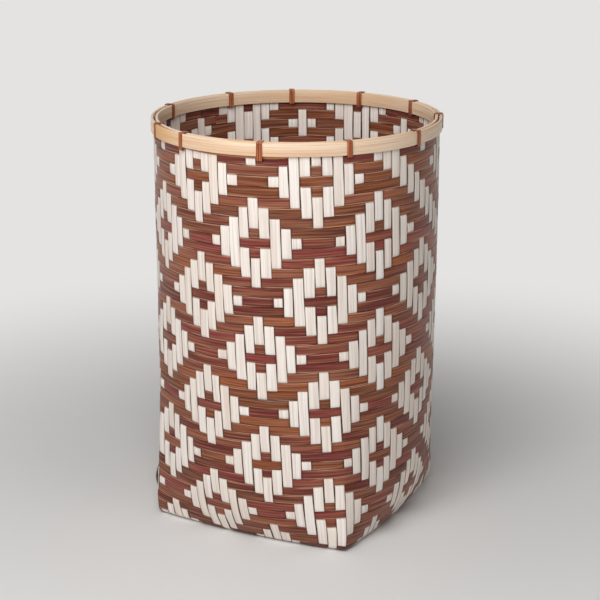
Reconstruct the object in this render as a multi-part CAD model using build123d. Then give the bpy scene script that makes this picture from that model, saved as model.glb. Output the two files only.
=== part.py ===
from build123d import *
from math import asin, cos, pi, radians, sin
import os

# Woven laundry basket of split bamboo: a square base, a wall that goes from the
# square base to a round mouth, and a rim of two hoops lashed over the wall.
# Origin at the centre of the base on the floor, +Z up, X and Y along the sides
# of the base. All sizes in mm.

# Driving sizes of the whole basket
basket_height = 566.0
rim_diameter = 400.0
base_width = 296.0
base_bend = 10.0
base_bow = 10.0
belly_bow = 27.0
belly_height = 70.0
roundness = 2.4
corner_rise = 5.0

# Split bamboo strips, flat on one side and crowned on the other
stakes_per_side = 22
stake_width = 12.2
stake_thickness = 1.2
weaver_count = 44
weaver_growth_ratio = 1.12
weaver_thickness = 1.1
weaver_gap = 0.5
weave_clearance = 0.3

# Rim
hoop_height = 18.0
outer_hoop_thickness = 3.2
inner_hoop_thickness = 2.8
hoop_ease = 0.6
hoop_clearance = 0.25
wall_below_rim = 2.0
lashing_count = 11
lashing_width = 7.6
lashing_thickness = 0.9
lashing_clearance = 0.2
stakes_before_lashing = 1

# Facets of the wall in plan, and the courses above which the stakes change slope
facets_per_side = 6
stake_bends = [1, 4, 10, 18, 29]

sides = 4
side_names = ["right", "back", "left", "front"]
stake_count = sides * stakes_per_side
corner_count = sides * facets_per_side
wall_top = basket_height - wall_below_rim
wall_radius = rim_diameter / 2 - outer_hoop_thickness - hoop_clearance - weaver_thickness
bend_length = base_bend * pi / 2
layer_pitch = stake_thickness + weave_clearance
stake_depth = weave_clearance + stake_thickness


def height_on_path(path):
    """Height of a point that lies this far up the wall from where it leaves the floor."""
    if path < bend_length:
        return base_bend * (1 - cos(path / base_bend))
    return base_bend + path - bend_length


def course_edge(course):
    """Height of the upper edge of a course, course 0 being the foot of the wall."""
    first = stake_thickness
    last = bend_length + wall_top - weaver_gap - base_bend
    growth = weaver_growth_ratio - 1
    whole = weaver_count + growth * weaver_count / 2
    so_far = course + growth * course * (course - 1) / 2 / (weaver_count - 1)
    return height_on_path(first + (last - first) * so_far / whole)


def foot_inset(height):
    """How far the bend at the foot draws the wall in at this height."""
    if height >= base_bend:
        return 0.0
    return base_bend * (1 - cos(asin(1 - height / base_bend)))


def plan_corners(height):
    """Corner points in plan of the weavers' flat side at this height, side by side."""
    squareness = min(1, (basket_height - height) / (basket_height - base_bend)) ** roundness
    half = base_width / 2 - weaver_thickness - foot_inset(height)
    swell = sin(pi / 2 * min(1, height / belly_height))
    bow = base_bow + (belly_bow - base_bow) * swell
    points = []
    for side in range(sides):
        facing = radians(90 * (side + 1))
        for facet in range(facets_per_side):
            share = facet / facets_per_side
            around = radians(45 + 90 * (side + share))
            along = half * (2 * share - 1)
            out = half + bow * (1 - (2 * share - 1) ** 2)
            square = Vector(out * sin(facing) + along * cos(facing),
                            along * sin(facing) - out * cos(facing))
            circle = Vector(wall_radius * sin(around), -wall_radius * cos(around))
            points.append(circle * (1 - squareness) + square * squareness)
    return points


def wall_corner(height, i):
    """Corner i of the wall in plan, on the straight runs between the stakes' bends."""
    upper = next(n for n, bend in enumerate(bend_heights) if n and bend >= height)
    low, high = bend_heights[upper - 1], bend_heights[upper]
    share = (height - low) / (high - low)
    return bend_plans[upper - 1][i] * (1 - share) + bend_plans[upper][i] * share


def wall_corners(height):
    return [wall_corner(height, i) for i in range(corner_count)]


def corner_set_in(points, i, depth):
    """Corner i of a closed outline, when the outline is set in by an even depth."""
    point = points[i]
    before = (point - points[i - 1]).normalized()
    after = (points[(i + 1) % len(points)] - point).normalized()
    inward = Vector(-before.Y, before.X) + Vector(-after.Y, after.X)
    return point + inward * (depth / (1 + before.dot(after)))


def set_in(points, depth):
    return [corner_set_in(points, i, depth) for i in range(len(points))]


def point_on(points, place):
    """Point on a closed outline, place counting its corners."""
    index = int(place // 1) % len(points)
    return points[index] + (points[(index + 1) % len(points)] - points[index]) * (place % 1)


def side_length(points, side):
    """Length of one side of an outline, from corner to corner."""
    first = side * facets_per_side
    places = range(first, first + facets_per_side)
    return sum((point_on(points, place + 1) - point_on(points, place)).length for place in places)


def least_radius(height, depth):
    """Radius of the round hoop that just fits inside the wall, this deep in from its flat side."""
    points = set_in(wall_corners(height), depth)
    return min((point_on(points, i) + point_on(points, i + 1)).length / 2 for i in range(len(points)))


def rise_at(height, i):
    """Lift of a course at corner i of the wall, most at the corners of the basket."""
    squareness = (1 - height / basket_height) ** roundness
    share = (i / facets_per_side) % 1
    start = min(1, max(0, height - base_bend) / (2 * base_bend))
    return corner_rise * squareness * start * abs(2 * share - 1) ** 3


def raised(point, height):
    return Vector(point.X, point.Y, height)


def closed_wire(points):
    return Wire.make_polygon(points, close=True)


def weaver(course):
    """One weaver: a thin crowned band round the stakes, upright above the foot's bend."""
    low = course_edge(course - 1) + weaver_gap / 2
    high = course_edge(course) - weaver_gap / 2
    low_z = [low + rise_at(low, i) for i in range(corner_count)]
    high_z = [high + rise_at(high, i) for i in range(corner_count)]
    low_plan = [wall_corner(z, i) for i, z in enumerate(low_z)]
    high_plan = [wall_corner(z, i) for i, z in enumerate(high_z)]
    if course > 1:
        low_plan = [max(pair, key=lambda point: point.length) for pair in zip(low_plan, high_plan)]
        high_plan = low_plan
    crown_plan = [(a + b) / 2 for a, b in zip(low_plan, high_plan)]
    crown_plan = set_in(crown_plan, -weaver_thickness)
    sections = []
    for i in range(corner_count):
        crown_z = (low_z[i] + high_z[i]) / 2
        sections.append(closed_wire([raised(low_plan[i], low_z[i]),
                                     raised(crown_plan[i], crown_z),
                                     raised(high_plan[i], high_z[i])]))
    return Solid.make_loft(sections + sections[:1], ruled=True)


def stake(side, number):
    """One stake: a strip inside the weavers, from the foot to the rim, crowned inwards."""
    middle = (side + (number + 0.5) / stakes_per_side) * facets_per_side
    sections = []
    for height, outside, inside in stake_levels[side % 2]:
        reach = facets_per_side * stake_width / 2 / side_length(outside, side)
        edges = [point_on(outside, middle - reach), point_on(outside, middle + reach)]
        crown = (point_on(inside, middle - reach) + point_on(inside, middle + reach)) / 2
        sections.append(closed_wire([raised(point, height) for point in edges + [crown]]))
    return Solid.make_loft(sections, ruled=True)


def stake_outlines(foot):
    """Height, outer outline and inner outline of a side's stakes at each of their bends."""
    heights = [foot] + bend_heights[1:]
    plans = [wall_corners(height) for height in heights]
    return [(height, set_in(plan, weave_clearance), set_in(plan, stake_depth))
            for height, plan in zip(heights, plans)]


def base_strip(number, level):
    """One strip of the base, along Y on the floor or along X over those."""
    outline = set_in(wall_corners(0.0), stake_depth + weave_clearance)
    middle = (3 + (number + 0.5) / stakes_per_side) * facets_per_side
    reach = facets_per_side * stake_width / 2 / side_length(outline, 3)
    ends = [point_on(outline, middle - reach), point_on(outline, middle + reach)]
    length = 2 * min(-end.Y for end in ends)
    strip = Box(stake_width, length, stake_thickness, align=(Align.CENTER, Align.CENTER, Align.MIN))
    strip = Pos(point_on(outline, middle).X, 0, level * layer_pitch) * strip
    return Rot(0, 0, 90 * level) * strip


def hoop(back_radius, face_radius):
    """One hoop of the rim: a split of bamboo bent round, its visible side eased at the edges."""
    low = basket_height - hoop_height
    ease = hoop_ease if face_radius < back_radius else -hoop_ease
    profile = Polyline((back_radius, 0, low), (face_radius + ease, 0, low),
                       (face_radius, 0, basket_height - hoop_height / 2),
                       (face_radius + ease, 0, basket_height), (back_radius, 0, basket_height),
                       close=True)
    return revolve(make_face(profile), Axis.Z)


def lashing_gap(number):
    """How many stakes, from the front right corner on, stand before a lashing."""
    return stakes_before_lashing + number * stake_count // lashing_count


def in_place(number, solid):
    """A solid made on the front's middle plane, turned to where a lashing is."""
    return Rot(0, 0, 45 + 360 * lashing_gap(number) / stake_count) * solid


def lashing(number):
    """One lashing: a loop of flat cane over both hoops and through the wall under them."""
    depth = rim_depth + 2 * lashing_clearance
    height = hoop_height + 2 * lashing_clearance
    hole = Box(lashing_width * 2, depth, height)
    loop = Box(lashing_width, depth + 2 * lashing_thickness, height + 2 * lashing_thickness)
    return in_place(number, Pos(0, -rim_middle, basket_height - hoop_height / 2) * (loop - hole))


def lashing_slot(number):
    """The room that a lashing takes up where it goes through the wall."""
    low = basket_height - hoop_height - 2 * lashing_clearance - lashing_thickness
    high = course_edge(weaver_count - 1)
    slot = Box(lashing_width + 2 * lashing_clearance, rim_depth, high - low)
    return in_place(number, Pos(0, -rim_middle, (low + high) / 2) * slot)


def write(name, solids):
    shape = solids[0] if len(solids) == 1 else Compound(children=solids)
    shape.label = name
    export_step(shape, "parts/" + name + ".step")


bend_heights = [0.0] + [course_edge(course) for course in stake_bends] + [wall_top]
bend_plans = [plan_corners(height) for height in bend_heights]
stake_levels = [stake_outlines(layer_pitch), stake_outlines(0.0)]
wall_inside = least_radius(basket_height - hoop_height, stake_depth)
rim_inside = wall_inside - hoop_clearance - inner_hoop_thickness
rim_depth = rim_diameter / 2 - rim_inside
rim_middle = (rim_diameter / 2 + rim_inside) / 2
slots = [lashing_slot(number) for number in range(lashing_count)]

os.makedirs("parts", exist_ok=True)

for course in range(1, weaver_count + 1):
    band = weaver(course)
    if course == weaver_count - 1:
        band = band - slots
    write(f"weaver_{course:02d}", [band])

for side in range(sides):
    strips = []
    for number in range(stakes_per_side):
        strip = stake(side, number)
        before = side * stakes_per_side + number
        for turn in range(lashing_count):
            if lashing_gap(turn) in (before, before + 1):
                strip = strip - slots[turn]
        strips.append(strip)
    write("stakes_" + side_names[side], strips)

write("base_strips_lengthwise", [base_strip(number, 0) for number in range(stakes_per_side)])
write("base_strips_crosswise", [base_strip(number, 1) for number in range(stakes_per_side)])
write("rim_outer_hoop", [hoop(rim_diameter / 2 - outer_hoop_thickness, rim_diameter / 2)])
write("rim_inner_hoop", [hoop(rim_inside + inner_hoop_thickness, rim_inside)])
write("rim_lashings", [lashing(number) for number in range(lashing_count)])
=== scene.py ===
from math import cos, pi, radians, sin

import bpy
import numpy as np
from bpy.types import Operator, Panel, PropertyGroup
from mathutils import Matrix, Vector


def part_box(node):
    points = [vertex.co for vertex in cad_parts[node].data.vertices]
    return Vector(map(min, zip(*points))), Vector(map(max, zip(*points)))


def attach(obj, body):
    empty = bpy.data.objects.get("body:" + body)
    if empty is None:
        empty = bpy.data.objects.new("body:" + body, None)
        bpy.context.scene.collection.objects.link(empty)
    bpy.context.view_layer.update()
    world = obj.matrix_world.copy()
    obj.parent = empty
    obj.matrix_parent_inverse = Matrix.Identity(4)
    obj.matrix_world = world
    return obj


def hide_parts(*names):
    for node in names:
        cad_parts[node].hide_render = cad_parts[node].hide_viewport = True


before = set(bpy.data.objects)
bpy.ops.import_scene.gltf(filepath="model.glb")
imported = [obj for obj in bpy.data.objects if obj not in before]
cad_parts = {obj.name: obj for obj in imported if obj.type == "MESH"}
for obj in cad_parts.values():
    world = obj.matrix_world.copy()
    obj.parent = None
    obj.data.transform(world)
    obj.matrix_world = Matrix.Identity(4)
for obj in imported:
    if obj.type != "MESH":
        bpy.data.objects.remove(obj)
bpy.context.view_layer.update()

bl_info = {
    "name": "Woven Laundry Basket",
    "version": (1, 0, 0),
    "blender": (4, 5, 0),
    "location": "3D View > Sidebar > Basket",
    "description": "A basket of split bamboo with a square base, a round mouth and a lashed rim",
    "category": "Object",
}

OUTER_HOOP_LOW, OUTER_HOOP_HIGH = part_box("rim_outer_hoop")
STAKES_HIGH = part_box("stakes_front")[1]
MM = 0.001
SIDES = 4
SIDE_NAMES = ["right", "back", "left", "front"]
UP = np.array([0, 0, 1])

# Points across a strip from edge to edge, and along it in each cell between two crossings. A
# strip crosses the wall over the first and the last step of a cell.
ACROSS = np.array([-1.0, -0.72, 0.0, 0.72, 1.0])
CELL_STEPS = np.array([0.0, 0.2, 0.5, 0.8])
CROWN_POWER = 2.5

# Ends of the courses on the wall, how far strips may leave it, and the ends tucked under the foot.
FIRST_COURSE = 1.2 * MM
LAST_COURSE_BELOW_TOP = 0.5 * MM
FARTHEST_IN = -1.6 * MM
FARTHEST_OUT = 4 * MM
TUCKED_LEVELS = [-0.55, -0.35, -0.15]
TUCKED_OFFSET = -1.1 * MM
TUCKED_PER_LEVEL = 12 * MM

# Thicknesses by which the last end of a weaver lies behind its first one.
LAPPED_BEHIND = 1.1

# Share of a strip's offset that it keeps at the foot, the share that the hoops take at the rim,
# and the share of the height over which the courses' dip fades, above the foot and below the rim.
KEPT_AT_FOOT = 0.72
TAKEN_AT_RIM = 0.3
DIP_FADES = 0.15

# Base: gap between two strips, height of the middle of the weave, and share of the wall's relief.
BASE_GAP = 0.5 * MM
BASE_HEIGHT = 0.95 * MM
BASE_RELIEF = 0.75

# Hoops: how far the outer layer stands off over its lap, gap between the lap's layers, and angle
# over which the inner end is thinned.
LAP_STANDS_OFF = 1.1 * MM
LAP_GAP = 0.5 * MM
END_ANGLE = 0.08
LAP_ROWS = 25
HOOP_ROWS = 121

# Lashings: radius of the bends, play outside the hoop, how far a turn of cane leans and is shifted
# from its place, and how many widths of cane it lies from the lashing's middle.
LASHING_BEND = 1.4 * MM
LASHING_PLAY = 0.3 * MM
TURN_LEAN = 0.5 * MM
TURN_SHIFT = 0.15 * MM
TURN_APART = 0.52

# First seeds of what differs from strip to strip: their lines, gaps and places, then their tones.
STAKE_STILL = 100
STAKE_STRAY = 200
STAKE_GAP = 300
COURSE_STRAY = 400
COURSE_GAP = 500
TURN_PLACE = 50
STAKE_TONE = 1000
WEAVER_TONE = 2000
BASE_TONE = 3000
HOOP_TONE = 4001
CANE_TONE = 5000

# Sockets of a Mix node that mixes colours: it has others of the same names for numbers.
MIX_FIRST = 6
MIX_SECOND = 7
MIXED = 2

# Name, place before the camera's turn, and width of each square lamp.
LAMPS = (("key", (-1.8, -1.86, 0.9), 1.5), ("top", (-0.4, -1.3, 1.7), 1.2),
         ("fill", (2.2, -2.0, 2.0), 1.6))
LAMPS_AIM_AT = Vector((0, 0, 0.28))
FLOOR_SIZE = 30
SENSOR_WIDTH = 36
SEEN_TO = 100


# Settings ----------

def quantity(name, description, default, **kind):
    return bpy.props.FloatProperty(name=name, description=description, default=default, **kind)


def length(name, description, default):
    return quantity(name, description, default, unit="LENGTH", precision=5)


def angle(name, description, degrees):
    return quantity(name, description, radians(degrees), subtype="ANGLE")


def count(name, description, default):
    return bpy.props.IntProperty(name=name, description=description, default=default, min=1)


def colour(name, description, hex_value):
    return bpy.props.FloatVectorProperty(name=name, description=description, size=3, min=0, max=1,
                                         default=linear(hex_value), subtype="COLOR")


def linear(hex_value):
    """An sRGB hex colour as linear red, green and blue."""
    values = [int(hex_value[i:i + 2], 16) / 255 for i in (1, 3, 5)]
    return [v / 12.92 if v <= 0.04045 else ((v + 0.055) / 1.055) ** 2.4 for v in values]


class BasketShape(PropertyGroup):
    """Form of the wall, from the square base to the round mouth."""
    height: length("Height", "Floor to the top of the rim", OUTER_HOOP_HIGH[2])
    wall_top: length("Wall top", "Height at which the stakes end, inside the rim", STAKES_HIGH[2])
    wall_radius: length("Wall radius", "Radius of the woven wall at the mouth", 195.45 * MM)
    base_width: length("Base width", "Corner to corner along one side of the base", 297 * MM)
    base_bend: length("Base bend", "Radius of the bend from the base into the wall", 10 * MM)
    base_bow: length("Base bow", "How far a side of the base bows out", 10 * MM)
    belly_bow: length("Belly bow", "How far the sides bow out above the base", 30 * MM)
    belly_height: length("Belly height", "Height at which the bow is fully there", 90 * MM)
    roundness: quantity("Roundness", "How soon the wall turns from square to round", 2.7)
    corner_rise: length("Corner rise", "How far the courses climb at the corners", 9 * MM)
    foot_lift: length("Foot lift", "How far the strips' middle stands off the floor", 1.5 * MM)


class BasketWeave(PropertyGroup):
    """Strips, courses and the diamond pattern."""
    stakes_per_side: count("Stakes a side", "Upright strips on each side", 22)
    courses: count("Courses", "Level strips from the foot to the rim", 44)
    course_growth: quantity("Course growth", "Top course's pitch over the lowest one's", 1.12)
    stake_gap: length("Stake gap", "Usual gap between two upright strips", 1.0 * MM)
    weaver_gap: length("Weaver gap", "Usual gap between two courses", 0.2 * MM)
    thickness: length("Strip thickness", "Thickness of a split", 0.8 * MM)
    relief: length("Relief", "How far a strip steps out or in as it crosses", 0.62 * MM)
    crown: length("Crown", "How much a strip's face is crowned", 0.25 * MM)
    float_bow: length("Float bow", "How far a long float stands off", 0.45 * MM)
    lean_at_foot: quantity("Lean at the foot", "How many stakes the strips are turned at the foot", 0.2)
    lean_at_mouth: quantity("Lean at the mouth", "How many stakes the strips are turned at the mouth", -0.35)
    sway_at_mouth: quantity("Sway at the mouth", "How many stakes the mouth is swayed to the left", 0.85)
    sag: length("Sag", "How far the courses dip at the front left", 4.2 * MM)
    wander: length("Wander", "How far a strip's edge strays from its line", 0.75 * MM)
    loose_course: count("Loose course", "Course with a float that stands off the wall", 18)
    loose_from: count("Loose from", "Stake at which that float starts", 79)
    loose_to: count("Loose to", "Stake at which that float ends", 84)
    loose_lift: length("Loose lift", "How far that float stands off", 1.8 * MM)
    slack_stake: count("Slack stake", "Stake with a float that bulges off the wall", 64)
    slack_from: count("Slack from", "Course at which that float starts", 2)
    slack_to: count("Slack to", "Course at which that float ends", 7)
    slack_lift: length("Slack lift", "How far that float bulges", 4.4 * MM)
    diamond: count("Diamond spacing", "Stakes and courses from one diamond to the next", 12)
    reach: count("Diamond reach", "Cells from a diamond's middle to its point", 4)
    first_stake: count("First stake", "Pattern's place at the front right corner", 2)
    last_course: count("Last course", "Pattern's place below the lowest course", 41)
    seam: count("Seam", "Stake after which the pattern starts again", 19)
    slip_from: count("Slip from", "Stake at which a slanting line breaks the diamonds", 4)
    slip_course: count("Slip course", "Course of that line's lower edge at its first stake", 43)
    slip_height: count("Slip height", "Courses that the stakes of that line pass over", 3)


class BasketRim(PropertyGroup):
    """Two hoops and the lashings that hold them."""
    outer_radius: length("Outer radius", "Outside of the outer hoop", 200 * MM)
    outer_thickness: length("Outer hoop", "Thickness of the outer hoop", 3.2 * MM)
    inner_radius: length("Inner radius", "Inside of the inner hoop", 190.2 * MM)
    inner_thickness: length("Inner hoop", "Thickness of the inner hoop", 3.4 * MM)
    hoop_height: length("Hoop height", "Height of both hoops", OUTER_HOOP_HIGH[2] - OUTER_HOOP_LOW[2])
    edge: length("Edge", "Rounding of the hoops' edges", 0.9 * MM)
    lap_start: angle("Lap start", "Where the outer hoop's outer end lies, round from the front", -43)
    lap_angle: angle("Lap", "How far the ends of a hoop are lapped", 68)
    lap_drop: length("Lap drop", "How far the lap's inner layer hangs below the outer", 3.2 * MM)
    lashings: count("Lashings", "Lashings round the rim", 11)
    first_lashing: count("First lashing", "Stakes between a corner and the first lashing", 1)
    lashing_turn: quantity("Lashing turn", "How many stakes the lashings are turned", -0.75)
    lashing_shifts: bpy.props.FloatVectorProperty(
        name="Lashing shifts", description="How many stakes each lashing is off its even place",
        size=11, default=(0.15, 0.25, 1.4, 0.9, 0.25, -0.15, -1.2, -0.25, 2.1, -0.55, 0.0))
    lashing_width: length("Lashing width", "Width of one turn of cane", 3.5 * MM)
    lashing_crown: length("Lashing crown", "How much the cane's face is crowned", 0.35 * MM)
    lashing_thickness: length("Lashing thickness", "Thickness of the cane", 0.6 * MM)
    lashing_slack: length("Lashing slack", "How far the cane hangs below the hoops", 1.4 * MM)


class BasketColours(PropertyGroup):
    """Colours of the bamboo and the cane."""
    stake_light: colour("Stake, light", "Lightest bleached strip", "#F8F1EB")
    stake_warm: colour("Stake, warm", "Warmest bleached strip", "#F2E6DA")
    stake_fibre: colour("Stake fibre", "Fine lines in the bleached strips", "#DFD0C4")
    stake_shade: colour("Stake shade", "Broad shade along the bleached strips", "#F3ECEA")
    # Painted shade at the bleached strips' edges, for the shadow in the gaps between them.
    stake_edge: colour("Stake edge", "Cut edges of the bleached strips", "#A8917E")
    weaver_red: colour("Weaver, red", "Reddest dyed strip", "#853D3C")
    weaver_mid: colour("Weaver, middle", "Usual dyed strip", "#874A3B")
    weaver_brown: colour("Weaver, brown", "Brownest dyed strip", "#915D4A")
    weaver_orange: colour("Weaver, orange", "Where the dye has turned orange", "#9B5838")
    weaver_dark: colour("Weaver, dark", "Dark fibres of the dyed strips", "#421811")
    weaver_light: colour("Weaver, light", "Fibres where the dye is thin", "#A87355")
    weaver_sheen: colour("Weaver sheen", "Light that the dyed skin throws back", "#FFCDB4")
    # Pale streaks near the edges of some courses.
    weaver_pale: colour("Weaver, pale", "Where a dyed strip's edge was left pale", "#D9A58A")
    # Painted shadow at the dyed strips' edges, for the gaps between the courses.
    weaver_gap_shadow: colour("Weaver edge", "Cut edges of the dyed strips", "#2A0F0B")
    hoop: colour("Hoop", "Rim hoops", "#F3DAC0")
    hoop_warm: colour("Hoop, warm", "Warmer stretches of the hoops", "#E7C29D")
    hoop_skin: colour("Hoop skin", "Skin at the outer hoop's lapped end", "#DDA866")
    hoop_fibre: colour("Hoop fibre", "Fibres of the rim hoops", "#D2A882")
    # Painted shade on the inner layer of the outer hoop's lap, where it hangs below the outer one.
    hoop_lap_shade: colour("Hoop under", "What is left of the colour under the hoop's lap", "#C2926C")
    cane: colour("Cane", "Lashings", "#AE582C")
    cane_dark: colour("Cane, dark", "Dark fibres and edges of the lashings", "#74341A")
    cane_light: colour("Cane, light", "Light fibres of the lashings", "#D38D5E")
    floor: colour("Floor", "Floor and backdrop", "#E4E3E1")


class BasketView(PropertyGroup):
    """Camera and lights."""
    turn: angle("Turn", "Camera's turn round the basket from the front", 27.0)
    distance: length("Distance", "Camera to the basket's axis", 2.264)
    height: length("Camera height", "Camera above the floor", 0.9883)
    pitch: angle("Pitch", "Camera's tilt below the level", 16.93)
    yaw: angle("Yaw", "Camera's turn off the basket's axis", -0.104)
    roll: angle("Roll", "Camera's roll", -0.13)
    lens: quantity("Lens", "Focal length in mm on a 36 mm sensor", 99.95)
    key: quantity("Key light", "Power of the low light from the left in watts", 10.0)
    top: quantity("Top light", "Power of the light from above in watts", 26.5)
    fill: quantity("Fill light", "Power of the light from the right in watts", 9.0)
    sky: quantity("Sky", "Strength of the light from all round", 0.19)
    floor_near: length("Near floor", "Where the floor starts to pass into the backdrop", 0.22)
    floor_far: length("Far floor", "Where the floor is wholly backdrop", 1.25)


# Form of the wall ----------

def settings():
    """Settings of the form, the weave and the rim."""
    scene = bpy.context.scene
    return scene.basket_shape, scene.basket_weave, scene.basket_rim


def smooth(t):
    """t from 0 to 1, starting and ending gently."""
    t = np.clip(t, 0, 1)
    return t * t * (3 - 2 * t)


def wall_point(place, path, offset=0.0):
    """Points of the wall. place counts stakes round from the front right corner, path is the
    length up the wall from where it leaves the floor, and offset is the distance outwards."""
    shape, weave, _ = settings()
    quarter = shape.base_bend * pi / 2
    turn = np.clip(path / shape.base_bend, 0, pi / 2)
    lift = shape.foot_lift * (1 - smooth((path - quarter) / (2 * shape.base_bend)))
    radius = shape.base_bend - lift + offset
    height = shape.base_bend - radius * np.cos(turn) + np.maximum(path - quarter, 0)
    inset = shape.base_bend - radius * np.sin(turn) - np.minimum(path, 0)
    share = (place / weave.stakes_per_side) % 1
    side = np.floor(place / weave.stakes_per_side) % SIDES
    squareness = np.clip((shape.height - height) / (shape.height - shape.base_bend), 0, 1)
    squareness = squareness ** shape.roundness
    half = shape.base_width / 2 - inset
    swell = np.sin(pi / 2 * np.clip(height / shape.belly_height, 0, 1))
    bow = shape.base_bow + (shape.belly_bow - shape.base_bow) * swell
    along = half * (2 * share - 1)
    out = half + bow * (1 - (2 * share - 1) ** 2)
    facing = (side + 1) * pi / 2
    ring = shape.wall_radius - inset
    turned = around(place)
    square_x = out * np.sin(facing) + along * np.cos(facing)
    square_y = along * np.sin(facing) - out * np.cos(facing)
    x = squareness * square_x + (1 - squareness) * ring * np.sin(turned)
    y = squareness * square_y - (1 - squareness) * ring * np.cos(turned)
    return np.stack([x, y, height], -1)


def course_path(level):
    """Length up the wall to a level, which counts courses from the foot."""
    shape, weave, _ = settings()
    last = shape.base_bend * (pi / 2 - 1) + shape.wall_top - LAST_COURSE_BELOW_TOP
    growth = weave.course_growth - 1
    whole = weave.courses * (1 + growth / 2)
    so_far = level + growth * level * (level - 1) / 2 / (weave.courses - 1)
    return FIRST_COURSE + (last - FIRST_COURSE) * so_far / whole


def around(place):
    """Angle round the basket, from the middle of the front side to the right, of a place."""
    return pi / 4 + 2 * pi * place / (SIDES * bpy.context.scene.basket_weave.stakes_per_side)


def leaned(level, place):
    """How many stakes the strips are turned at a level: they lean a little on the way up, and
    the mouth is swayed to one side."""
    weave = bpy.context.scene.basket_weave
    up = np.clip(level / weave.courses, 0, 1)
    sway = weave.sway_at_mouth * np.cos(around(place) - bpy.context.scene.basket_view.turn)
    return weave.lean_at_foot + (weave.lean_at_mouth - weave.lean_at_foot - sway) * up


def climbed(level, place):
    """Length up the wall to a level at a place, where the courses climb at the basket's corners
    and dip at the front left, but neither at the foot nor at the mouth."""
    shape, weave, _ = settings()
    path = course_path(level)
    squareness = np.clip(1 - path / shape.height, 0, 1) ** shape.roundness
    share = (place / weave.stakes_per_side) % 1
    start = np.clip((path - shape.base_bend) / (2 * shape.base_bend), 0, 1)
    up = level / weave.courses
    free = np.clip(up / DIP_FADES, 0, 1) * np.clip((1 - up) / DIP_FADES, 0, 1)
    dip = weave.sag * free * np.cos(around(place) + pi / 4)
    return path + shape.corner_rise * squareness * start * np.abs(2 * share - 1) ** 3 - dip


def stake_pitch(place, path):
    """Length of wall from one stake to the next at these points."""
    step = 0.05
    chord = wall_point(place + step, path) - wall_point(place - step, path)
    return np.linalg.norm(chord, axis=-1) / (2 * step)


# Pattern ----------

def stakes_outside():
    """For each stake and course, 1 where the stake passes outside and -1 where it passes inside."""
    weave = bpy.context.scene.basket_weave
    stake_count = SIDES * weave.stakes_per_side
    stake = np.arange(stake_count)[:, None]
    column = stake + weave.first_stake - np.where(stake >= weave.seam, stake_count, 0)
    course = np.arange(1, weave.courses + 1)[None, :]
    row = weave.last_course - course
    half = weave.diamond // 2
    past_line = course - weave.slip_course + stake - weave.slip_from
    slipped = (stake >= weave.slip_from) & (stake < weave.seam)
    column = column + np.where(slipped & (past_line >= weave.slip_height), half, 0)
    pattern = np.where(slipped & (past_line >= 0) & (past_line < weave.slip_height), 1.0, -1.0)
    for shift in (0, half):
        across = np.abs((column - shift + half) % weave.diamond - half)
        up = np.abs((row - shift + half) % weave.diamond - half)
        cross = ((across == 0) & (up <= 1)) | ((across == 1) & (up == 0))
        pattern = np.where((across + up <= weave.reach) & ~cross, 1, pattern)
    return pattern


def weave_offset(position, signs, bow=1.0):
    """Offset along a strip that is outside where signs is 1 and inside where it is -1, position
    counting its crossings. A float over more crossings than one stands off by a share of bow."""
    weave = bpy.context.scene.basket_weave
    cells = len(signs)
    cell = np.clip(np.floor(position), 0, cells - 1).astype(int)
    part = position - cell
    before = signs[np.maximum(cell - 1, 0)]
    after = signs[np.minimum(cell + 1, cells - 1)]
    leave = 0.5 + 0.5 * np.sin(pi / 2 * np.clip(part / CELL_STEPS[1], 0, 1))
    reach = 0.5 + 0.5 * np.sin(pi / 2 * np.clip((1 - part) / CELL_STEPS[1], 0, 1))
    crossing = signs[cell] * (leave + reach - 1) + before * (1 - leave) + after * (1 - reach)
    offset = weave.relief * crossing
    starts = [i for i in range(cells) if i == 0 or signs[i] != signs[i - 1]]
    for start, end in zip(starts, starts[1:] + [cells]):
        if end - start > 1:
            arch = np.sin(pi * np.clip((position - start) / (end - start), 0, 1))
            long = min(1, (end - start - 1) / 4)
            offset = offset + signs[start] * bow * weave.float_bow * long * arch
    return offset


def depth_of(offset):
    """0 where a strip passes outside and 1 where it lies under the others."""
    return np.clip(0.5 - 0.5 * offset / bpy.context.scene.basket_weave.relief, 0, 1)


def settled(offset, level):
    """An offset, drawn in where the strips turn under the foot and where the hoops hold them."""
    weave = bpy.context.scene.basket_weave
    foot = KEPT_AT_FOOT + (1 - KEPT_AT_FOOT) * smooth((level - 0.4) / 1.6)
    rim = 1 - TAKEN_AT_RIM * smooth((level - weave.courses + 3) / 2)
    return np.clip(offset * foot * rim, FARTHEST_IN, FARTHEST_OUT)


def wander(position, seed, period):
    """A slow wave between -1 and 1 that is different for each seed."""
    phases = np.random.RandomState(seed).uniform(0, 2 * pi, 3)
    waves = [np.sin(2 * pi * position / (period * scale) + phase)
             for scale, phase in zip((1.0, 0.43, 0.21), phases)]
    return (waves[0] + 0.6 * waves[1] + 0.3 * waves[2]) / 1.9


# Making pieces ----------

def deselect():
    if bpy.context.mode != "OBJECT":
        bpy.ops.object.mode_set(mode="OBJECT")
    bpy.ops.object.select_all(action="DESELECT")


def laid_grid(name, points):
    """A grid laid on rows of points, with the row and the column of each of its vertices and the
    vertex at each corner of its faces."""
    rows, columns = points.shape[:2]
    deselect()
    bpy.ops.mesh.primitive_grid_add(x_subdivisions=rows - 1, y_subdivisions=columns - 1, size=1)
    piece = bpy.context.active_object
    piece.name = name
    mesh = piece.data
    flat = np.empty(len(mesh.vertices) * 3)
    mesh.vertices.foreach_get("co", flat)
    flat = flat.reshape(-1, 3)
    row = np.rint((flat[:, 0] + 0.5) * (rows - 1)).astype(int)
    column = np.rint((flat[:, 1] + 0.5) * (columns - 1)).astype(int)
    mesh.vertices.foreach_set("co", points[row, column].ravel())
    corner = np.empty(len(mesh.loops), dtype=np.int32)
    mesh.loops.foreach_get("vertex_index", corner)
    return piece, row, column, corner


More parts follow.
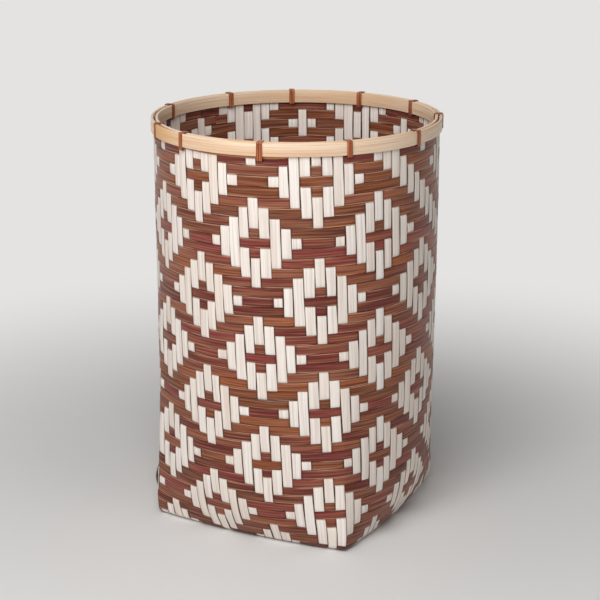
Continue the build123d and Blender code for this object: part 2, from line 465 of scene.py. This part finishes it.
def marked(mesh, along, across, values):
    """Gives a mesh its UV map, in metres along a strip and in widths across it, and its strip
    attribute, whose values are hue, shade, grain and depth in the weave. The materials darken a
    strip by its depth, as painted shade where it lies under the others."""
    uv = np.stack([along, across], -1)
    mesh.uv_layers[0].data.foreach_set("uv", uv.ravel())
    mesh.attributes.new("strip", "FLOAT_COLOR", "POINT").data.foreach_set("color", values.ravel())


def strip(name, points, thickness, tone):
    """A strip of bamboo or cane: a grid laid on its points, which are rows along the strip of
    points across it, and given its thickness. tone is one row of values for each row of points or
    one for all."""
    run = run_along(points)
    piece, row, column, corner = laid_grid(name, points)
    mesh = piece.data
    values = np.broadcast_to(np.array(tone, dtype=np.float32), (len(points), 4))[row]
    marked(mesh, run[row[corner]], (ACROSS[column[corner]] + 1) / 2, values)
    solidify = piece.modifiers.new("Thickness", "SOLIDIFY")
    solidify.thickness = thickness
    solidify.offset = -1
    solidify.use_quality_normals = True
    bpy.ops.object.modifier_apply(modifier="Thickness")
    # The inner face takes the depth the other way round, so that the painted shade also falls where the
    # strip lies under the others as seen from inside.
    inside = np.concatenate([values, values])
    inside[len(values):, 3] = 1 - inside[len(values):, 3]
    mesh.attributes["strip"].data.foreach_set("color", inside.ravel())
    bpy.ops.object.shade_smooth_by_angle(angle=radians(35))
    return piece


def tone_of(seed, depth=0.0):
    """Hue, shade and grain of a strip, the same each time, and its depth in the weave."""
    depth = np.atleast_1d(depth)
    values = np.random.RandomState(seed).uniform(0, 1, 3)
    return np.column_stack([np.tile(values, (len(depth), 1)), depth])


def joined(pieces, name):
    """Joins pieces to one."""
    deselect()
    for piece in pieces:
        piece.select_set(True)
    bpy.context.view_layer.objects.active = pieces[0]
    bpy.ops.object.join()
    whole = bpy.context.active_object
    whole.name = name
    whole.data.name = name
    return whole


def finished(piece, material, slot, *nodes):
    """Gives a piece its material, hangs it under the root body and hides the CAD nodes it stands for."""
    piece.data.materials.clear()
    piece.data.materials.append(material)
    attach(piece, "root")
    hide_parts(*nodes)


def run_along(points):
    """Length along the middle of a strip to each of its rows."""
    middle = points[:, points.shape[1] // 2]
    steps = np.linalg.norm(np.diff(middle, axis=0), axis=-1)
    return np.concatenate([[0], np.cumsum(steps)])


def crown_of(across):
    """Share of its crown that a strip has at a place across it."""
    return 1 - np.abs(across) ** CROWN_POWER


def face_of(offset):
    """Offset of a strip's crowned outer face, in rows of points across it."""
    weave = bpy.context.scene.basket_weave
    return offset[:, None] + weave.thickness / 2 + weave.crown * crown_of(ACROSS)


def bulge(at, start, end):
    """0 up to start and from end on, and 1 halfway between them."""
    return np.sin(pi * np.clip((at - start) / (end - start), 0, 1)) ** 2


def stake_edge(number, level):
    """How far the line between two stakes strays, and half the gap there."""
    weave = bpy.context.scene.basket_weave
    number = number % (SIDES * weave.stakes_per_side)
    still = np.random.RandomState(STAKE_STILL + number).uniform(-1, 1)
    stray = weave.wander * (still + 0.7 * wander(level, STAKE_STRAY + number, period=26))
    wave = wander(level, STAKE_GAP + number, period=17)
    gap = weave.stake_gap * (1.5 - 0.4 * smooth(level / 10) + wave)
    return stray, gap / 2


def course_edge(level, place):
    """Length up the wall to the line between two courses, and half the gap there."""
    weave = bpy.context.scene.basket_weave
    stakes = SIDES * weave.stakes_per_side
    turn = around(place) * stakes / (2 * pi)
    stray = weave.wander * wander(turn, COURSE_STRAY + level, period=stakes / 5)
    free = 1 if 0 < level < weave.courses else 0
    opened = np.maximum(0, wander(turn, COURSE_GAP + level, period=stakes / 9) - 0.45)
    return climbed(level, place) + free * stray, weave.weaver_gap * (0.5 + 4 * free * opened)


def stake_points(stake, signs):
    """Rows of points of one stake, from the rim down and in under the foot, and its depth."""
    weave = bpy.context.scene.basket_weave
    level = (np.arange(weave.courses)[:, None] + CELL_STEPS).ravel()
    level = np.concatenate([TUCKED_LEVELS, level, [weave.courses]])[::-1]
    plain = weave_offset(np.clip(level, 0, weave.courses), signs)
    offset = np.where(level < 0, TUCKED_OFFSET, settled(plain, level))
    if stake == weave.slack_stake:
        offset = offset + weave.slack_lift * bulge(level, weave.slack_from, weave.slack_to)
    middle = stake + 0.5 + leaned(level, stake + 0.5)
    path = climbed(np.maximum(level, 0), middle) + np.minimum(level, 0) * TUCKED_PER_LEVEL
    pitch = stake_pitch(middle, path)
    low_stray, low_gap = stake_edge(stake, level)
    high_stray, high_gap = stake_edge(stake + 1, level)
    low = middle - 0.5 + (low_stray + low_gap) / pitch
    high = middle + 0.5 + (high_stray - high_gap) / pitch
    place = low[:, None] + (high - low)[:, None] * (ACROSS + 1) / 2
    return wall_point(place, path[:, None] + 0 * place, face_of(offset)), depth_of(plain)


def weaver_points(course, signs):
    """Rows of points of one weaver, once round, and its depth. Its ends are lapped behind a stake
    near the back left corner."""
    weave = bpy.context.scene.basket_weave
    stakes = len(signs)
    behind = [i for i in range(stakes // 2, stakes) if signs[i] > 0 and signs[i - 1] > 0]
    start = behind[course % 3] if len(behind) > 3 else stakes // 2
    signs = np.append(np.roll(signs, -start), signs[start])
    cells = (np.arange(stakes + 1)[:, None] + CELL_STEPS).ravel()
    cells = cells[(cells > 0.3) & (cells < stakes + 0.7)]
    plain = -weave_offset(cells, signs)
    offset = settled(plain, np.full(len(cells), course - 0.5))
    offset = offset - LAPPED_BEHIND * weave.thickness * smooth((cells - stakes + 0.2) / 0.4)
    if course == weave.loose_course:
        offset = offset + weave.loose_lift * bulge(cells + start, weave.loose_from, weave.loose_to)
    place = cells + start
    place = place + leaned(course - 0.5, place)
    low, low_gap = course_edge(course - 1, place)
    high, high_gap = course_edge(course, place)
    low = (low + low_gap)[:, None]
    high = (high - high_gap)[:, None]
    path = low + (high - low) * (ACROSS + 1) / 2
    return wall_point(place[:, None] + 0 * path, path, face_of(offset)), depth_of(plain)


def base_points(way, number):
    """Rows of points of one strip of the base, which goes over two strips and under two, and its
    depth. way is 0 for the strips along Y and 1 for those along X."""
    shape, weave, _ = settings()
    total = weave.stakes_per_side
    half = shape.base_width / 2 - shape.base_bend
    cells = np.append((np.arange(total)[:, None] + CELL_STEPS).ravel(), total)
    signs = np.where((np.arange(total) + number) % 4 < 2, 1.0, -1.0) * (1 - 2 * way)
    plain = weave_offset(cells, signs, 0.0)
    share = 2 * (number + 0.5) / total - 1
    along = (2 * cells / total - 1) * (half + shape.base_bow * (1 - share * share))
    aside = half * share + weave.wander * 0.3 * wander(cells, 40 * way + number, period=9)
    width = 2 * half / total - BASE_GAP
    x = aside[:, None] + ACROSS[::-1] * width / 2
    y = along[:, None] + 0 * x
    z = BASE_HEIGHT + BASE_RELIEF * plain[:, None] + weave.thickness / 2 + 0 * x
    points = np.stack([-y, x, z] if way else [x, y, z], -1)
    return points, depth_of(plain)


def lap_drop(turn):
    """How far the inner layer of the outer hoop's lap hangs below the outer one, at an angle."""
    rim = bpy.context.scene.basket_rim
    far = ((turn - rim.lap_start) % (2 * pi)) / rim.lap_angle
    return rim.lap_drop * smooth(far / 0.6) * smooth((1 - far) / 0.06)


def hoop_points(turn, inner, outer, lap, dropped):
    """Rows of points of a hoop, rounded sections at angles that start at its outer end, what its
    pattern reads round each section, and 1 where it is thinned near its inner end, 0 elsewhere."""
    shape, _, rim = settings()
    so_far = turn - turn[0]
    middle = inner + 0.5 * (outer - inner)
    out = outer + LAP_STANDS_OFF * (1 - smooth((so_far / lap - 0.5) / 0.5)) * (so_far < lap)
    widened = inner + (middle - inner) * (1 - smooth((so_far - lap) / END_ANGLE))
    within = np.where(so_far > lap, widened, np.where(so_far < lap, middle, inner))
    near_end = smooth((so_far - 2 * pi + END_ANGLE) / END_ANGLE)
    out = out + (middle - LAP_GAP - out) * near_end
    drop = np.where(so_far > 2 * pi, dropped * lap_drop(turn), 0)[:, None]
    corners = ((1, 1, 0), (-1, 1, 90), (-1, -1, 180), (1, -1, 270))
    section = np.array([(u, v, cos(radians(start + 30 * step)), sin(radians(start + 30 * step)))
                        for u, v, start in corners for step in range(4)])
    section = np.append(section, section[:1], 0)
    round_off = np.minimum(rim.edge, 0.45 * (out - within))[:, None]
    radius = (out + within)[:, None] / 2
    radius = radius + section[:, 0] * ((out - within)[:, None] / 2 - round_off)
    radius = radius + section[:, 2] * round_off
    low = shape.height - rim.hoop_height - drop
    high = shape.height - 0.5 * drop
    height = (low + high) / 2 + section[:, 1] * ((high - low) / 2 - round_off)
    height = height + section[:, 3] * round_off
    x = radius * np.sin(turn)[:, None]
    y = -radius * np.cos(turn)[:, None]
    return np.stack([x, y, height], -1), (height + radius) / rim.hoop_height, near_end


def hoop(name, inner, outer, start, lap, dropped, tone):
    """A hoop of one strip with its ends lapped: rounded sections on a grid, closed at the ends.
    start is the angle of the outer end and lap the angle over which the two layers lie."""
    so_far = np.concatenate([np.linspace(0, lap, LAP_ROWS)[:-1],
                             np.linspace(lap, 2 * pi, HOOP_ROWS)[:-1],
                             np.linspace(2 * pi, 2 * pi + lap, LAP_ROWS)])
    points, side, near_end = hoop_points(start + so_far, inner, outer, lap, dropped)
    piece, row, column, corner = laid_grid(name, points)
    values = np.tile(np.array(tone, dtype=np.float32)[:1], (len(points), 1))
    values[:, 0] = 1 - smooth(so_far / 0.5)
    # Painted shade on the outer hoop's lap, over its inner layer below the outer one.
    values[:, 3] = dropped * near_end
    marked(piece.data, so_far[row[corner]] * outer, side[row[corner], column[corner]], values[row])
    bpy.ops.object.mode_set(mode="EDIT")
    bpy.ops.mesh.select_all(action="SELECT")
    bpy.ops.mesh.remove_doubles(threshold=1e-6)
    bpy.ops.mesh.select_all(action="DESELECT")
    bpy.ops.mesh.select_mode(type="EDGE")
    bpy.ops.mesh.select_non_manifold()
    bpy.ops.mesh.fill_holes(sides=0)
    bpy.ops.mesh.select_mode(type="VERT")
    bpy.ops.mesh.select_all(action="SELECT")
    bpy.ops.mesh.normals_make_consistent(inside=False)
    bpy.ops.object.mode_set(mode="OBJECT")
    bpy.ops.object.shade_smooth_by_angle(angle=radians(40))
    return piece


def lashing_route(inner, outer, low, high):
    """Section of a lashing round both hoops: radius and height of its points, and which way each
    faces. Its four bends go round from the top of its outer side."""
    route = []
    for radius, height, start in ((outer, high, 0), (inner, high, 90), (inner, low, 180),
                                  (outer, low, 270)):
        bend_in = LASHING_BEND if radius == inner else -LASHING_BEND
        bend_up = LASHING_BEND if height == low else -LASHING_BEND
        for step in range(5):
            turn = radians(start + 90 * step / 4)
            route.append((radius + bend_in + LASHING_BEND * cos(turn),
                          height + bend_up + LASHING_BEND * sin(turn), cos(turn), sin(turn)))
    return np.array(route + route[:1])


def lashing_points(number, side):
    """Rows of points of one turn of cane, the left one of a lashing where side is -1 and the
    right one where it is 1."""
    shape, weave, rim = settings()
    place = rim.first_lashing + rim.lashing_turn + rim.lashing_shifts[number]
    turned = around(place + number * SIDES * weave.stakes_per_side / rim.lashings)
    loose = np.random.RandomState(TURN_PLACE + 2 * number + side).uniform(-1, 1, 3)
    thick = rim.lashing_thickness
    high = shape.height + thick
    low = shape.height - rim.hoop_height - thick - rim.lashing_slack
    low = low - lap_drop(turned) + TURN_LEAN * loose[0]
    route = lashing_route(rim.inner_radius - thick, rim.outer_radius + thick + LASHING_PLAY, low, high)
    slope = (route[:, 1] - low) / (high - low) - 0.5
    middle = side * TURN_APART * rim.lashing_width + TURN_LEAN * loose[1] * slope
    across = (middle + TURN_SHIFT * loose[2])[:, None] + ACROSS * rim.lashing_width / 2
    swell = rim.lashing_crown * crown_of(ACROSS)
    radius = route[:, 0, None] + swell * route[:, 2, None]
    height = route[:, 1, None] + swell * route[:, 3, None]
    out = np.array([sin(turned), -cos(turned), 0])
    aside = np.array([cos(turned), sin(turned), 0])
    return radius[..., None] * out + across[..., None] * aside + height[..., None] * UP


# Materials ----------

def new_material(name):
    material = bpy.data.materials.new(name)
    material.use_nodes = True
    return material, material.node_tree, material.node_tree.nodes["Principled BSDF"]


def rgba(value):
    """A colour, or a number as a grey, with nothing see-through."""
    return (*value, 1.0) if hasattr(value, "__len__") else (value, value, value, 1.0)


def node(tree, kind, inputs=None, stops=(), **settings):
    """Adds a node. inputs gives each socket a value, or what it is linked from, which is a node
    for its main output or a (node, output). stops are a colour ramp's (position, colour)."""
    new = tree.nodes.new("ShaderNode" + kind)
    for key, value in settings.items():
        setattr(new, key, value)
    for key, value in (inputs or {}).items():
        socket = new.inputs[key]
        if isinstance(value, bpy.types.Node):
            value = (value, MIXED if value.type == "MIX" else 0)
        if isinstance(value, tuple) and isinstance(value[0], bpy.types.Node):
            tree.links.new(value[0].outputs[value[1]], socket)
        else:
            socket.default_value = rgba(value) if socket.type == "RGBA" else value
    while stops and len(new.color_ramp.elements) < len(stops):
        new.color_ramp.elements.new(0.5)
    for place, (position, value) in enumerate(stops):
        new.color_ramp.elements[place].position = position
        new.color_ramp.elements[place].color = rgba(value)
    return new


def strip_values(tree):
    """The strip attribute, and the same taken apart: Red is hue, Green shade and Blue grain."""
    values = node(tree, "Attribute", attribute_name="strip")
    return values, node(tree, "SeparateColor", {"Color": values})


def grain(tree, along_mm, across_per_width, roughness, detail=3.0):
    """Noise drawn out along a strip: fibres along_mm long, with this many across its width."""
    uv = node(tree, "UVMap", uv_map="UVMap")
    _, apart = strip_values(tree)
    shift = node(tree, "CombineXYZ", {"X": (apart, "Blue"), "Y": (apart, "Green")})
    far = node(tree, "VectorMath", {0: shift, "Scale": 40.0}, operation="SCALE")
    size = (1 / (along_mm * MM), across_per_width, 1.0)
    scaled = node(tree, "Mapping", {"Vector": uv, "Scale": size})
    place = node(tree, "VectorMath", {0: scaled, 1: far}, operation="ADD")
    inputs = {"Vector": place, "Scale": 1.0, "Detail": detail, "Roughness": roughness}
    return node(tree, "TexNoise", inputs, noise_dimensions="2D")


def across_strip(tree, edge, inner):
    """1 at the cut edges of a strip and 0 over its middle, passing from one to the other between
    two shares of half its width, edge and inner."""
    uv = node(tree, "UVMap", uv_map="UVMap")
    parts = node(tree, "SeparateXYZ", {"Vector": uv})
    aside = node(tree, "Math", {0: (parts, "Y"), 1: 2.0, 2: -1.0}, operation="MULTIPLY_ADD")
    far = node(tree, "Math", {0: aside}, operation="ABSOLUTE")
    return node(tree, "MapRange", {"Value": far, "From Min": inner, "From Max": edge})


def layered(tree, lowest, *layers):
    """Lays colours over a lowest one. A layer is (source, stops, colour): as much of the colour
    is laid on as the source says, read through a ramp if there are stops. Where the colour is
    None, the ramp's own colour multiplies what is below."""
    for source, stops, over in layers:
        share = node(tree, "ValToRGB", {"Fac": source}, stops) if stops else source
        inputs = {0: share, MIX_FIRST: lowest, MIX_SECOND: over}
        blend = "MIX"
        if over is None:
            inputs = {0: 1.0, MIX_FIRST: lowest, MIX_SECOND: share}
            blend = "MULTIPLY"
        lowest = node(tree, "Mix", inputs, data_type="RGBA", blend_type=blend)
    return lowest


def tied(tree, shader, colour_from, height, strength, depth_mm, roughness, shine):
    """Links a colour and a bump to a shader and sets its roughness and its shine."""
    tree.links.new(colour_from.outputs[MIXED], shader.inputs["Base Color"])
    shader.inputs["Roughness"].default_value = roughness
    shader.inputs["Specular IOR Level"].default_value = shine
    bump = node(tree, "Bump", {"Height": height, "Strength": strength, "Distance": depth_mm * MM})
    tree.links.new(bump.outputs["Normal"], shader.inputs["Normal"])


def bleached_bamboo():
    """Bamboo split thin and bleached: nearly white, matt, with fine straight fibres that show as
    faint darker lines, a slightly different warmth in each strip, painted shade along its edges for
    the shadow in the gaps between strips, and painted shade where it lies under the other strips."""
    colours = bpy.context.scene.basket_colours
    material, tree, shader = new_material("bleached_split_bamboo")
    values, apart = strip_values(tree)
    fine = grain(tree, along_mm=160, across_per_width=7, roughness=0.55)
    broad = grain(tree, along_mm=220, across_per_width=3.0, roughness=0.5, detail=1.0)
    laid = layered(tree, colours.stake_light,
                   ((apart, "Red"), (), colours.stake_warm),
                   (fine, ((0.34, 0.6), (0.47, 0.0)), colours.stake_fibre),
                   (broad, ((0.3, colours.stake_shade), (0.6, 1.0)), None),
                   # Painted shade along the strip's edges, for the shadow in the gaps between strips.
                   (across_strip(tree, edge=1.0, inner=0.9), (), colours.stake_edge),
                   # Painted shade where the strip lies under the others, by its depth in the weave.
                   ((values, "Alpha"), ((0.1, 1.0), (0.9, 0.72)), None))
    tied(tree, shader, laid, fine, strength=0.3, depth_mm=0.12, roughness=0.6, shine=0.35)
    return material


def dyed_bamboo():
    """Bamboo split and dyed red brown: the dye takes unevenly, so each strip has its own hue, with
    dark and light fibres along it, fine grooves, pale streaks near its edges in places, painted
    shadow along its edges for the gaps between courses, painted shade where it lies under the
    other strips, and a low warm sheen."""
    colours = bpy.context.scene.basket_colours
    material, tree, shader = new_material("dyed_split_bamboo")
    values, apart = strip_values(tree)
    fine = grain(tree, along_mm=110, across_per_width=5.5, roughness=0.5, detail=2.0)
    thin = grain(tree, along_mm=60, across_per_width=12, roughness=0.5, detail=1.0)
    broad = grain(tree, along_mm=190, across_per_width=1.3, roughness=0.6, detail=2.0)
    streak_noise = grain(tree, along_mm=90, across_per_width=3.0, roughness=0.5, detail=1.0)
    turn = node(tree, "Math", {0: broad, 1: 2.2, 2: -1.1}, operation="MULTIPLY_ADD")
    hue_at = node(tree, "Math", {0: (apart, "Red"), 1: turn}, operation="ADD")
    hue = node(tree, "ValToRGB", {"Fac": hue_at},
               ((0.05, colours.weaver_red), (0.4, colours.weaver_mid),
                (0.7, colours.weaver_brown), (1.0, colours.weaver_orange)))
    # Pale streaks near the strip's edges, where the noise is high.
    left = node(tree, "ValToRGB", {"Fac": streak_noise}, ((0.5, 0.0), (0.58, 0.8)))
    near = across_strip(tree, edge=0.86, inner=0.76)
    pale = node(tree, "Math", {0: near, 1: left}, operation="MULTIPLY")
    laid = layered(tree, hue,
                   ((apart, "Green"), ((0.0, 0.6), (1.0, 1.12)), None),
                   (fine, ((0.36, 0.6), (0.5, 0.0)), colours.weaver_dark),
                   (fine, ((0.52, 0.0), (0.7, 0.55)), colours.weaver_light),
                   (thin, ((0.35, 0.8), (0.55, 1.0), (0.7, 1.08)), None),
                   (pale, (), colours.weaver_pale),
                   # Painted shadow along the strip's edges, for the gaps between courses.
                   (across_strip(tree, edge=1.0, inner=0.88), (), colours.weaver_gap_shadow),
                   # Painted shade, darker still, where the strip lies under the others, by its depth in the
                   # weave.
                   ((values, "Alpha"), ((0.1, 1.0), (0.9, 0.22)), None))
    tied(tree, shader, laid, fine, strength=0.4, depth_mm=0.2, roughness=0.42, shine=0.4)
    shader.inputs["Specular Tint"].default_value = rgba(colours.weaver_sheen)
    return material


def planed_bamboo():
    """Thick bamboo, split and planed for the hoops: pale tan, satin, with long straight fibres,
    yellower where the outer skin is left on at the lapped end, and with painted shade on the
    lap's inner layer where it hangs below the outer one."""
    colours = bpy.context.scene.basket_colours
    material, tree, shader = new_material("planed_bamboo_hoop")
    values, apart = strip_values(tree)
    fine = grain(tree, along_mm=140, across_per_width=16, roughness=0.6)
    broad = grain(tree, along_mm=300, across_per_width=1.6, roughness=0.5, detail=2.0)
    lowest = node(tree, "ValToRGB", {"Fac": broad},
                  ((0.3, colours.hoop_warm), (0.62, colours.hoop)))
    laid = layered(tree, lowest,
                   ((apart, "Red"), (), colours.hoop_skin),
                   (fine, ((0.33, 0.75), (0.52, 0.0)), colours.hoop_fibre),
                   # Painted shade on the lap's inner layer, below the outer one.
                   ((values, "Alpha"), ((0.1, 1.0), (0.9, colours.hoop_lap_shade)), None))
    tied(tree, shader, laid, fine, strength=0.25, depth_mm=0.15, roughness=0.42, shine=0.4)
    return material


def split_cane():
    """Split rattan cane for the lashings: red brown skin, smooth and a little glossy, darker
    towards its edges."""
    colours = bpy.context.scene.basket_colours
    material, tree, shader = new_material("split_rattan_cane")
    _, apart = strip_values(tree)
    fine = grain(tree, along_mm=40, across_per_width=5, roughness=0.6)
    skin = node(tree, "ValToRGB", {"Fac": fine},
                ((0.35, colours.cane_dark), (0.5, colours.cane), (0.68, colours.cane_light)))
    laid = layered(tree, skin,
                   ((apart, "Red"), ((0.0, 0.75), (1.0, 1.1)), None),
                   (across_strip(tree, edge=1.0, inner=0.5), (), colours.cane_dark))
    tied(tree, shader, laid, fine, strength=0.35, depth_mm=0.2, roughness=0.38, shine=0.35)
    return material


# Stage ----------

def seen_rays(tree):
    """1 for the rays that see the backdrop, straight, by a reflection or through something, and
    0 for the light."""
    rays = node(tree, "LightPath")
    inputs = {0: (rays, "Is Camera Ray"), 1: (rays, "Is Glossy Ray")}
    total = node(tree, "Math", inputs, operation="ADD")
    inputs = {0: total, 1: (rays, "Is Transmission Ray")}
    return node(tree, "Math", inputs, operation="ADD", use_clamp=True)


def studio_floor(view, paint):
    """Matt painted floor: an even light grey that takes the basket's soft shadow near it, and
    farther off is seen as plain as the backdrop."""
    material, tree, shader = new_material("matt_studio_floor")
    shader.inputs["Base Color"].default_value = rgba(paint)
    shader.inputs["Roughness"].default_value = 0.9
    spot = node(tree, "TexCoord")
    far = node(tree, "VectorMath", {0: (spot, "Object")}, operation="LENGTH")
    inputs = {"Value": (far, "Value"), "From Min": view.floor_near, "From Max": view.floor_far}
    away = node(tree, "MapRange", inputs, interpolation_type="SMOOTHSTEP")
    share = node(tree, "Math", {0: away, 1: seen_rays(tree)}, operation="MULTIPLY")
    backdrop = node(tree, "Emission", {"Color": paint, "Strength": 1.0})
    blend = node(tree, "MixShader", {0: share, 1: shader, 2: backdrop})
    tree.links.new(blend.outputs["Shader"], tree.nodes["Material Output"].inputs["Surface"])
    return material


def lit_world(view, paint):
    """Dim white light from all round, with the backdrop's paint where it is seen."""
    world = bpy.context.scene.world or bpy.data.worlds.new("studio")
    world.use_nodes = True
    tree = world.node_tree
    tree.nodes.clear()
    light = node(tree, "Background", {"Color": 1.0, "Strength": view.sky})
    backdrop = node(tree, "Background", {"Color": paint, "Strength": 1.0})
    share = node(tree, "MixShader", {0: seen_rays(tree), 1: light, 2: backdrop})
    node(tree, "OutputWorld", {"Surface": share})
    return world


def add_lamp(name, place, size, power):
    deselect()
    bpy.ops.object.light_add(type="AREA", location=place)
    lamp = bpy.context.active_object
    lamp.name = name
    lamp.data.size = size
    lamp.data.energy = power
    lamp.rotation_euler = (LAMPS_AIM_AT - lamp.location).to_track_quat("-Z", "Y").to_euler()


def add_camera(view):
    deselect()
    bpy.ops.object.camera_add()
    camera = bpy.context.active_object
    camera.name = "camera"
    camera.data.lens = view.lens
    camera.data.sensor_width = SENSOR_WIDTH
    camera.data.clip_end = SEEN_TO
    camera.matrix_world = (Matrix.Rotation(view.turn, 4, "Z")
                           @ Matrix.Translation((0, -view.distance, view.height))
                           @ Matrix.Rotation(view.yaw, 4, "Z")
                           @ Matrix.Rotation(pi / 2 - view.pitch, 4, "X")
                           @ Matrix.Rotation(view.roll, 4, "Z"))
    bpy.context.scene.camera = camera


# Operators ----------

class BASKET_OT_stakes(Operator):
    """Weave the upright strips, one piece for each side"""
    bl_idname = "basket.stakes"
    bl_label = "Stakes"

    def execute(self, context):
        weave = context.scene.basket_weave
        outside = stakes_outside()
        material = bleached_bamboo()
        for side, side_name in enumerate(SIDE_NAMES):
            strips = []
            for stake in range(side * weave.stakes_per_side, (side + 1) * weave.stakes_per_side):
                points, depth = stake_points(stake, outside[stake])
                tone = tone_of(STAKE_TONE + stake, depth)
                strips.append(strip("stake", points, weave.thickness, tone))
            whole = joined(strips, "woven_stakes_" + side_name)
            finished(whole, material, "stake_strips", "stakes_" + side_name)
        return {"FINISHED"}


class BASKET_OT_weavers(Operator):
    """Weave the level strips, one piece for each course"""
    bl_idname = "basket.weavers"
    bl_label = "Weavers"

    def execute(self, context):
        weave = context.scene.basket_weave
        outside = stakes_outside()
        material = dyed_bamboo()
        for course in range(1, weave.courses + 1):
            points, depth = weaver_points(course, outside[:, course - 1])
            tone = tone_of(WEAVER_TONE + course, depth)
            piece = strip(f"woven_weaver_{course:02d}", points, weave.thickness, tone)
            finished(piece, material, "weaver_strips", f"weaver_{course:02d}")
        return {"FINISHED"}


class BASKET_OT_base(Operator):
    """Weave the base, one piece for the strips each way"""
    bl_idname = "basket.base"
    bl_label = "Base"

    def execute(self, context):
        weave = context.scene.basket_weave
        material = bleached_bamboo()
        for way, name in enumerate(("lengthwise", "crosswise")):
            strips = []
            for number in range(weave.stakes_per_side):
                points, depth = base_points(way, number)
                tone = tone_of(BASE_TONE + 100 * way + number, depth)
                strips.append(strip("base_strip", points, weave.thickness, tone))
            whole = joined(strips, "woven_base_" + name)
            finished(whole, material, "stake_strips", "base_strips_" + name)
        return {"FINISHED"}


class BASKET_OT_hoops(Operator):
    """Bend the two hoops of the rim"""
    bl_idname = "basket.hoops"
    bl_label = "Hoops"

    def execute(self, context):
        rim = context.scene.basket_rim
        material = planed_bamboo()
        outer = hoop("bent_outer_hoop", rim.outer_radius - rim.outer_thickness, rim.outer_radius,
                     rim.lap_start, rim.lap_angle, 1, tone_of(HOOP_TONE))
        finished(outer, material, "rim_hoops", "rim_outer_hoop")
        inner = hoop("bent_inner_hoop", rim.inner_radius, rim.inner_radius + rim.inner_thickness,
                     0, rim.lap_angle, 0, tone_of(HOOP_TONE + 1))
        finished(inner, material, "rim_hoops", "rim_inner_hoop")
        return {"FINISHED"}


class BASKET_OT_lashings(Operator):
    """Lash the hoops to the wall with loops of cane"""
    bl_idname = "basket.lashings"
    bl_label = "Lashings"

    def execute(self, context):
        rim = context.scene.basket_rim
        turns = []
        for number in range(rim.lashings):
            for side in (-1, 1):
                tone = tone_of(CANE_TONE + 2 * number + side)
                points = lashing_points(number, side)
                turns.append(strip("lashing", points, rim.lashing_thickness, tone))
        whole = joined(turns, "cane_lashings")
        finished(whole, split_cane(), "lashings", "rim_lashings")
        return {"FINISHED"}


class BASKET_OT_stage(Operator):
    """Set up the floor, the light and the camera"""
    bl_idname = "basket.stage"
    bl_label = "Stage"

    def execute(self, context):
        view = context.scene.basket_view
        paint = context.scene.basket_colours.floor
        deselect()
        bpy.ops.mesh.primitive_plane_add(size=FLOOR_SIZE, location=(0, 0, 0))
        floor = context.active_object
        floor.name = "floor"
        floor.data.materials.append(studio_floor(view, paint))
        context.scene.world = lit_world(view, paint)
        turned = Matrix.Rotation(view.turn, 4, "Z")
        for name, place, size in LAMPS:
            add_lamp(name, turned @ Vector(place), size, getattr(view, name))
        add_camera(view)
        context.scene.view_settings.view_transform = "Standard"
        return {"FINISHED"}


class BASKET_PT_panel(Panel):
    """Settings and steps of the basket"""
    bl_idname = "BASKET_PT_panel"
    bl_label = "Woven Laundry Basket"
    bl_space_type = "VIEW_3D"
    bl_region_type = "UI"
    bl_category = "Basket"

    def draw(self, context):
        for group in SETTINGS:
            box = self.layout.box()
            box.label(text=group.__doc__)
            settings = getattr(context.scene, SETTINGS[group])
            for name in group.__annotations__:
                box.prop(settings, name)
        for operator in OPERATORS:
            self.layout.operator(operator.bl_idname)


SETTINGS = {BasketShape: "basket_shape", BasketWeave: "basket_weave", BasketRim: "basket_rim",
            BasketColours: "basket_colours", BasketView: "basket_view"}
OPERATORS = (BASKET_OT_stage, BASKET_OT_weavers, BASKET_OT_stakes, BASKET_OT_base,
             BASKET_OT_hoops, BASKET_OT_lashings)


def register():
    for group, name in SETTINGS.items():
        bpy.utils.register_class(group)
        setattr(bpy.types.Scene, name, bpy.props.PointerProperty(type=group))
    for cls in (*OPERATORS, BASKET_PT_panel):
        bpy.utils.register_class(cls)


def unregister():
    for cls in (BASKET_PT_panel, *reversed(OPERATORS)):
        bpy.utils.unregister_class(cls)
    for group, name in reversed(SETTINGS.items()):
        delattr(bpy.types.Scene, name)
        bpy.utils.unregister_class(group)


def main():
    register()
    bpy.ops.basket.stage()
    bpy.ops.basket.weavers()
    bpy.ops.basket.stakes()
    bpy.ops.basket.base()
    bpy.ops.basket.hoops()
    bpy.ops.basket.lashings()


if __name__ == "__main__":
    main()
